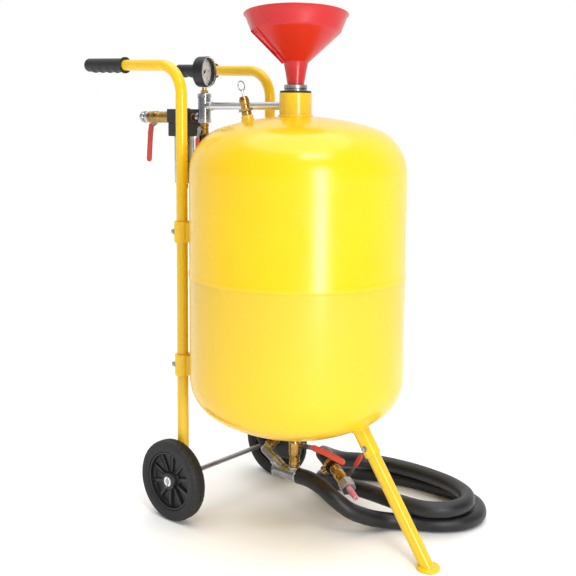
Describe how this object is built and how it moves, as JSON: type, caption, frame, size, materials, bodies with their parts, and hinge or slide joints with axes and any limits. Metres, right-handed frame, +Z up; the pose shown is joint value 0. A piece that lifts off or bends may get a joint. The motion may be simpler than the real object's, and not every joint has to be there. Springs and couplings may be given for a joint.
{
  "type": "portable pressure abrasive blaster",
  "caption": "Wheeled pressure pot for abrasive blasting, with filler funnel, air manifold with gauge and filter, metering valve, handles and a coiled blast hose with nozzle.",
  "frame": {"origin": "centre of the footprint on the floor, measured without the blast hose and its nozzle", "axes": "+Z up, -Y towards the foot, +Y towards the push handles, X along the wheel axle"},
  "size_m": [0.5177, 0.8004, 0.9981],
  "materials": {
    "yellow_paint": "gloss",
    "red_plastic": "satin",
    "black_plastic": "satin",
    "black_rubber": "matte",
    "tyre_rubber": "matte",
    "brass": "satin",
    "zinc_plate": "satin",
    "chrome": "polished",
    "white_card": "matte",
    "clear_plastic": "clear",
    "pink_ceramic": "satin"
  },
  "bodies": {
    "chassis": {"tank_lower_shell": "yellow_paint", "tank_upper_shell": "yellow_paint", "filler_neck": "yellow_paint", "neck_gasket": "black_rubber", "filler_collar": "zinc_plate", "safety_valve_body": "brass", "cross_pipe": "zinc_plate", "air_tee": "chrome", "gauge_stem": "brass", "gauge_case": "black_plastic", "gauge_dial": "white_card", "gauge_lens": "clear_plastic", "filter_nipple": "brass", "filter_head": "black_plastic", "filter_bowl": "clear_plastic", "bowl_guard": "zinc_plate", "filter_element": "white_card", "inlet_valve_body": "brass", "inlet_coupling": "chrome", "tank_air_valve_body": "brass", "bypass_hose": "black_rubber", "bypass_valve_body": "brass", "bypass_fitting": "zinc_plate", "mixing_tee": "zinc_plate", "metering_valve_body": "brass", "frame_tube_left": "yellow_paint", "frame_tube_right": "yellow_paint", "grip_left": "black_rubber", "grip_right": "black_rubber", "frame_clamp_upper_left": "yellow_paint", "frame_clamp_upper_right": "yellow_paint", "frame_clamp_lower_left": "yellow_paint", "frame_clamp_lower_right": "yellow_paint", "axle": "zinc_plate", "leg_socket": "yellow_paint", "leg_tube": "yellow_paint", "foot_pad": "black_rubber", "blast_hose": "black_rubber", "nozzle_valve_body": "brass", "nozzle_nut": "zinc_plate", "ceramic_nozzle": "pink_ceramic"},
    "popup": {"popup_plunger": "black_rubber"},
    "funnel_body": {"funnel": "red_plastic"},
    "safety_puller": {"safety_valve_stem": "zinc_plate", "safety_pull_ring": "zinc_plate"},
    "gauge_pointer": {"gauge_needle": "black_plastic"},
    "drain": {"drain_screw": "black_plastic"},
    "inlet_handle": {"inlet_valve_ball": "chrome", "inlet_valve_lever": "red_plastic"},
    "tank_air_handle": {"tank_air_valve_lever": "red_plastic"},
    "bypass_handle": {"bypass_valve_ball": "chrome", "bypass_valve_lever": "red_plastic"},
    "metering_handle": {"metering_valve_ball": "chrome", "metering_valve_lever": "red_plastic"},
    "nozzle_handle": {"nozzle_valve_ball": "chrome", "nozzle_valve_lever": "red_plastic"},
    "wheel_left": {"tyre_left": "tyre_rubber", "wheel_disc_left": "black_plastic"},
    "wheel_right": {"tyre_right": "tyre_rubber", "wheel_disc_right": "black_plastic"}
  },
  "joints": [
    {"name": "wheel_left_spin", "type": "hinge", "parent": "chassis", "child": "wheel_left", "pos_m": [-0.155, 0.1168, 0.08], "axis": [1, 0, 0], "continuous": true},
    {"name": "wheel_right_spin", "type": "hinge", "parent": "chassis", "child": "wheel_right", "pos_m": [0.155, 0.1168, 0.08], "axis": [1, 0, 0], "continuous": true},
    {"name": "inlet_valve_turn", "type": "hinge", "parent": "chassis", "child": "inlet_handle", "pos_m": [0, 0.3358, 0.793], "axis": [1, 0, 0], "range_deg": [0, 90]},
    {"name": "tank_air_valve_turn", "type": "hinge", "parent": "chassis", "child": "tank_air_handle", "pos_m": [0, 0.1848, 0.769], "axis": [-1, 0, 0], "range_deg": [0, 90]},
    {"name": "metering_valve_turn", "type": "hinge", "parent": "chassis", "child": "metering_handle", "pos_m": [0, -0.0662, 0.147], "axis": [1, 0, 0], "range_deg": [0, 90]},
    {"name": "bypass_valve_turn", "type": "hinge", "parent": "chassis", "child": "bypass_handle", "pos_m": [0.02116, 0.0108, 0.13452], "axis": [-0.392, 0, 0.92], "range_deg": [0, 90]},
    {"name": "nozzle_valve_turn", "type": "hinge", "parent": "chassis", "child": "nozzle_handle", "pos_m": [0.05238, -0.14035, 0.09245], "axis": [0.85, -0.3, -0.433], "range_deg": [0, 90]},
    {"name": "popup_lift", "type": "slide", "parent": "chassis", "child": "popup", "axis": [0, 0, 1], "range_m": [0, 0.0245]},
    {"name": "funnel_lift", "type": "slide", "parent": "chassis", "child": "funnel_body", "axis": [0.0801, 0.0672, 0.9945], "range_m": [0, 0.08]},
    {"name": "safety_pull", "type": "slide", "parent": "chassis", "child": "safety_puller", "axis": [-0.13, 0.1443, 0.981], "range_m": [0, 0.004], "stiffness_N_per_m": 400, "springref_m": -0.003},
    {"name": "gauge_needle_swing", "type": "hinge", "parent": "chassis", "child": "gauge_pointer", "pos_m": [0, 0.1848, 0.886], "axis": [-0.2757, 0.9612, 0], "range_deg": [0, 270], "stiffness_Nm_per_rad": 0.002, "springref_deg": -5.73},
    {"name": "drain_screw_turn", "type": "hinge", "parent": "chassis", "child": "drain", "pos_m": [0, 0.2458, 0.65], "axis": [0, 0, -1], "range_deg": [0, 360]}
  ]
}
